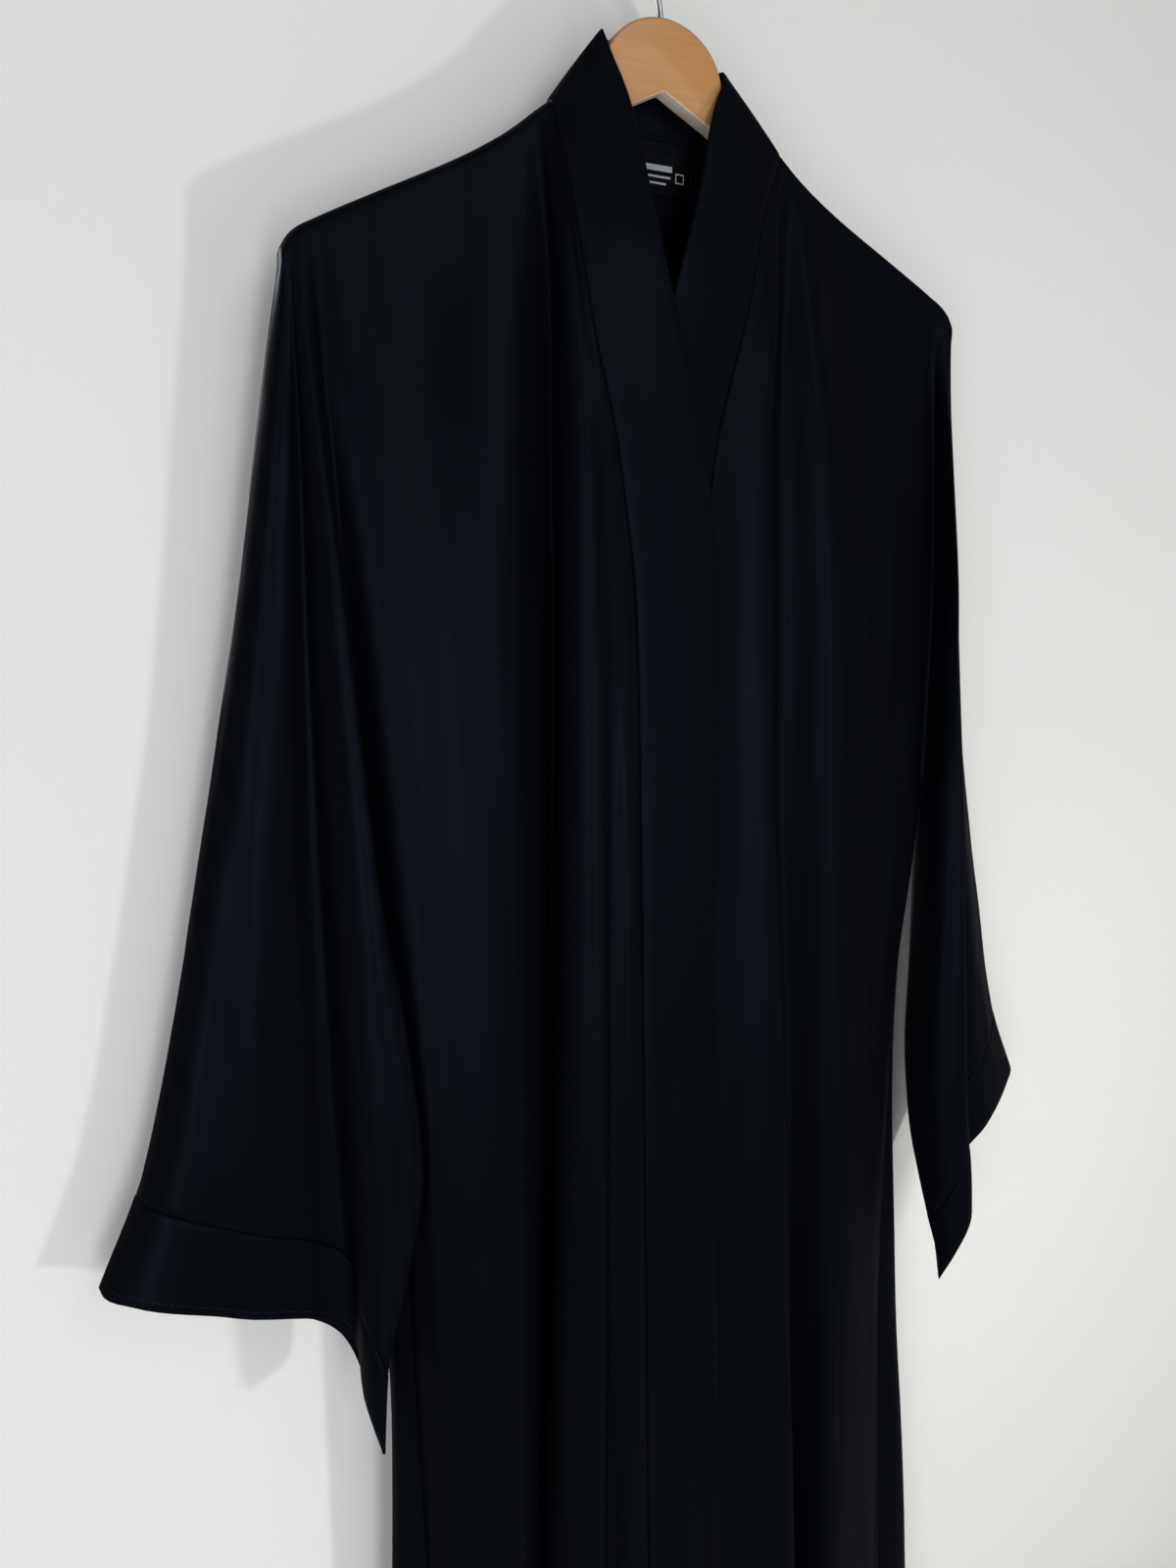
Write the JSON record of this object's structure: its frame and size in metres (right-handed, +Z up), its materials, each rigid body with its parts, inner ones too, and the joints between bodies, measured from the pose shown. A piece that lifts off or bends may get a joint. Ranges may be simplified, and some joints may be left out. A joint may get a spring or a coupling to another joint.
{
  "type": "abaya on a wooden clothes hanger",
  "caption": "Long black open-front abaya with wide kimono sleeves, cuff bands and a folded neckband, hanging from a flat wooden hanger with a steel hook.",
  "frame": {"origin": "the inside top of the hanger's hook, where it rests on a rail", "axes": "+Z up, the front of the garment faces -Y, +X is the viewer's right"},
  "size_m": [0.6871, 0.0866, 1.5433],
  "materials": {
    "crepe": "smooth soft-sheen crepe",
    "label": "woven",
    "beech": "satin lacquer",
    "wire": "satin"
  },
  "bodies": {
    "root": {"front_left": "crepe", "front_right": "crepe", "back": "crepe", "cuff_left": "crepe", "cuff_right": "crepe", "neckband": "crepe", "neck_label": "label", "hanger_body": "beech", "hanger_hook": "wire"}
  },
  "joints": []
}
